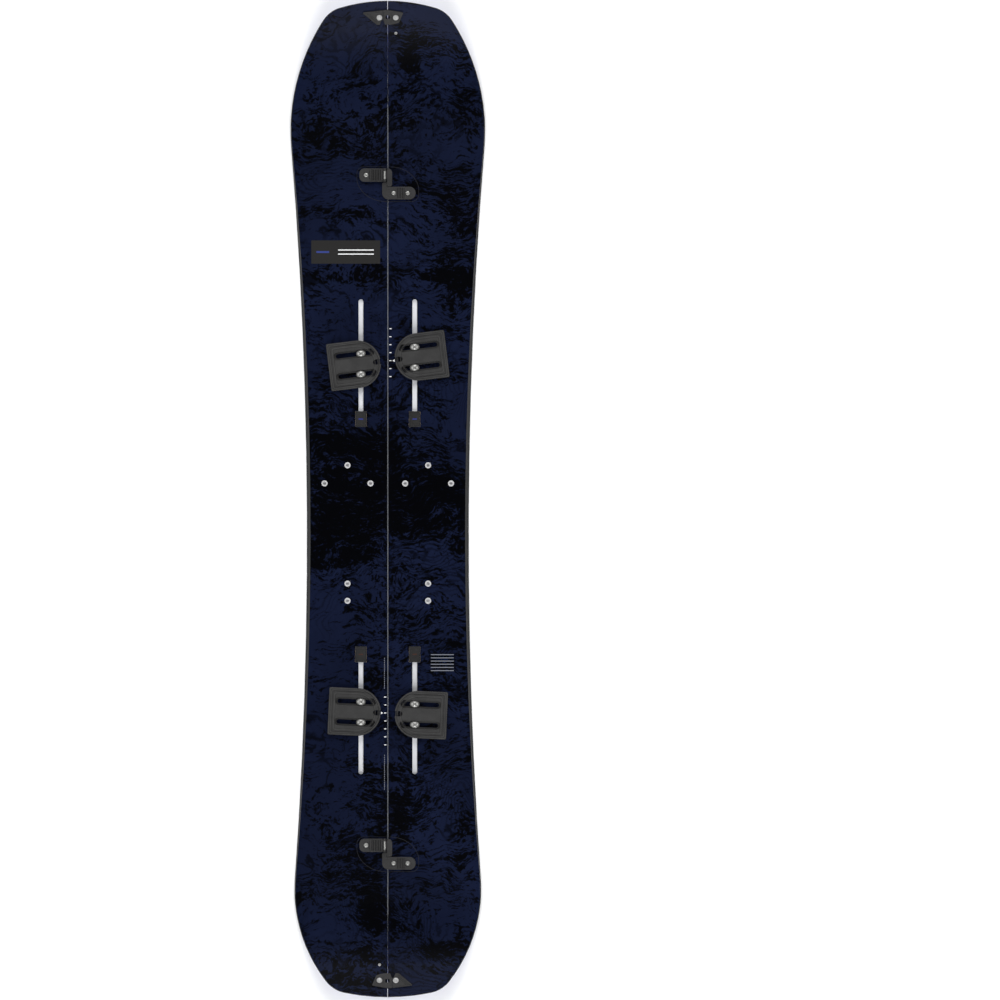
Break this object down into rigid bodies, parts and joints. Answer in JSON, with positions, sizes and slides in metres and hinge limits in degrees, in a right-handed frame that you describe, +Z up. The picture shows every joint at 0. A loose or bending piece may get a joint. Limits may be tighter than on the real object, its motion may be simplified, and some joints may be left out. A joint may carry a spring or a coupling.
{
  "type": "splitboard",
  "caption": "Snowboard split lengthwise into two touring halves, joined by seam clips and tip plates, with sliding binding pucks in deck channels.",
  "frame": {"origin": "on the ground plane, under the seam, half way between the nose and tail tips", "axes": "+Y towards the nose, +Z up from the base through the deck, +X to the right half"},
  "size_m": [0.3052, 1.56, 0.0504],
  "materials": {
    "base_polyethylene": "sintered, satin",
    "edge_steel": "ground",
    "glass_laminate": "resin and glass cloth",
    "core_wood": "bare poplar",
    "topsheet_film": "satin, dark navy with black swirls",
    "sidewall_plastic": "milled",
    "channel_aluminium": "satin",
    "insert_steel": "plated",
    "dark_fastener": "black oxide",
    "bright_fastener": "stainless",
    "clip_coating": "dark anodised, satin",
    "plate_coating": "dark anodised, satin",
    "puck_nylon": "moulded, fine grain",
    "plug_plastic": "moulded, printed mark"
  },
  "bodies": {
    "left_half": {"left_base": "base_polyethylene", "left_glass_layers": "glass_laminate", "left_core": "core_wood", "left_topsheet": "topsheet_film", "left_outer_edge": "edge_steel", "left_inner_edge": "edge_steel", "left_sidewalls": "sidewall_plastic", "left_tip_spacers": "sidewall_plastic", "left_channels": "channel_aluminium", "left_inserts": "insert_steel", "left_clip_screws": "dark_fastener", "left_tip_screws": "bright_fastener", "left_tip_barrels": "insert_steel", "nose_clip_base": "clip_coating", "nose_clip_pin": "bright_fastener", "tail_clip_base": "clip_coating", "tail_clip_pin": "bright_fastener", "nose_wing_plate": "plate_coating", "tail_hook_plate": "plate_coating"},
    "right_half": {"right_base": "base_polyethylene", "right_glass_layers": "glass_laminate", "right_core": "core_wood", "right_topsheet": "topsheet_film", "right_outer_edge": "edge_steel", "right_inner_edge": "edge_steel", "right_sidewalls": "sidewall_plastic", "right_tip_spacers": "sidewall_plastic", "right_channels": "channel_aluminium", "right_inserts": "insert_steel", "right_clip_screws": "dark_fastener", "right_tip_screws": "bright_fastener", "right_tip_barrels": "insert_steel", "nose_clip_catch": "clip_coating", "tail_clip_catch": "clip_coating", "nose_hook_plate": "plate_coating", "tail_wing_plate": "plate_coating"},
    "nose_lever": {"nose_clip_lever": "clip_coating"},
    "nose_hook": {"nose_clip_hook": "clip_coating"},
    "tail_lever": {"tail_clip_lever": "clip_coating"},
    "tail_hook": {"tail_clip_hook": "clip_coating"},
    "front_left_carriage": {"front_left_screws": "dark_fastener", "front_left_washers": "bright_fastener", "front_left_slot_nuts": "bright_fastener"},
    "front_left_puck_body": {"front_left_puck": "puck_nylon"},
    "front_left_plug_body": {"front_left_plug": "plug_plastic"},
    "front_right_carriage": {"front_right_screws": "dark_fastener", "front_right_washers": "bright_fastener", "front_right_slot_nuts": "bright_fastener"},
    "front_right_puck_body": {"front_right_puck": "puck_nylon"},
    "front_right_plug_body": {"front_right_plug": "plug_plastic"},
    "rear_left_carriage": {"rear_left_screws": "dark_fastener", "rear_left_washers": "bright_fastener", "rear_left_slot_nuts": "bright_fastener"},
    "rear_left_puck_body": {"rear_left_puck": "puck_nylon"},
    "rear_left_plug_body": {"rear_left_plug": "plug_plastic"},
    "rear_right_carriage": {"rear_right_screws": "dark_fastener", "rear_right_washers": "bright_fastener", "rear_right_slot_nuts": "bright_fastener"},
    "rear_right_puck_body": {"rear_right_puck": "puck_nylon"},
    "rear_right_plug_body": {"rear_right_plug": "plug_plastic"}
  },
  "joints": [
    {"name": "halves_slide", "type": "slide", "parent": "left_half", "child": "right_half", "axis": [0, -1, 0], "range_m": [0, 0.06]},
    {"name": "nose_lever_hinge", "type": "hinge", "parent": "left_half", "child": "nose_lever", "pos_m": [-0.0048, 0.5081, 0.0176], "axis": [0, 1, 0], "range_deg": [0, 110]},
    {"name": "nose_hook_slide", "type": "slide", "parent": "left_half", "child": "nose_hook", "axis": [1, 0, 0], "range_m": [0, 0.003]},
    {"name": "tail_lever_hinge", "type": "hinge", "parent": "left_half", "child": "tail_lever", "pos_m": [-0.0048, -0.5429, 0.0176], "axis": [0, 1, 0], "range_deg": [0, 110]},
    {"name": "tail_hook_slide", "type": "slide", "parent": "left_half", "child": "tail_hook", "axis": [1, 0, 0], "range_m": [0, 0.003]},
    {"name": "front_left_stance_slide", "type": "slide", "parent": "left_half", "child": "front_left_carriage", "axis": [0, 1, 0], "range_m": [-0.028, 0.075]},
    {"name": "front_left_centring_slide", "type": "slide", "parent": "front_left_carriage", "child": "front_left_puck_body", "axis": [0.9925, 0.1219, 0], "range_m": [-0.0125, 0.01]},
    {"name": "front_left_plug_lift", "type": "slide", "parent": "left_half", "child": "front_left_plug_body", "axis": [0, 0, 1], "range_m": [0, 0.012]},
    {"name": "front_right_stance_slide", "type": "slide", "parent": "right_half", "child": "front_right_carriage", "axis": [0, 1, 0], "range_m": [-0.04, 0.065]},
    {"name": "front_right_centring_slide", "type": "slide", "parent": "front_right_carriage", "child": "front_right_puck_body", "axis": [-0.9925, -0.1219, 0], "range_m": [-0.0125, 0.01]},
    {"name": "front_right_plug_lift", "type": "slide", "parent": "right_half", "child": "front_right_plug_body", "axis": [0, 0, 1], "range_m": [0, 0.012]},
    {"name": "rear_left_stance_slide", "type": "slide", "parent": "left_half", "child": "rear_left_carriage", "axis": [0, 1, 0], "range_m": [-0.072, 0.035]},
    {"name": "rear_left_centring_slide", "type": "slide", "parent": "rear_left_carriage", "child": "rear_left_puck_body", "axis": [0.999, -0.0436, 0], "range_m": [-0.014, 0.01]},
    {"name": "rear_left_plug_lift", "type": "slide", "parent": "left_half", "child": "rear_left_plug_body", "axis": [0, 0, 1], "range_m": [0, 0.012]},
    {"name": "rear_right_stance_slide", "type": "slide", "parent": "right_half", "child": "rear_right_carriage", "axis": [0, 1, 0], "range_m": [-0.068, 0.04]},
    {"name": "rear_right_centring_slide", "type": "slide", "parent": "rear_right_carriage", "child": "rear_right_puck_body", "axis": [-0.999, 0.0436, 0], "range_m": [-0.014, 0.01]},
    {"name": "rear_right_plug_lift", "type": "slide", "parent": "right_half", "child": "rear_right_plug_body", "axis": [0, 0, 1], "range_m": [0, 0.012]}
  ],
  "couplings": [
    {"joint": "nose_hook_slide", "follows": "nose_lever_hinge", "m_per_rad": 0.00156},
    {"joint": "tail_hook_slide", "follows": "tail_lever_hinge", "m_per_rad": 0.00156}
  ]
}
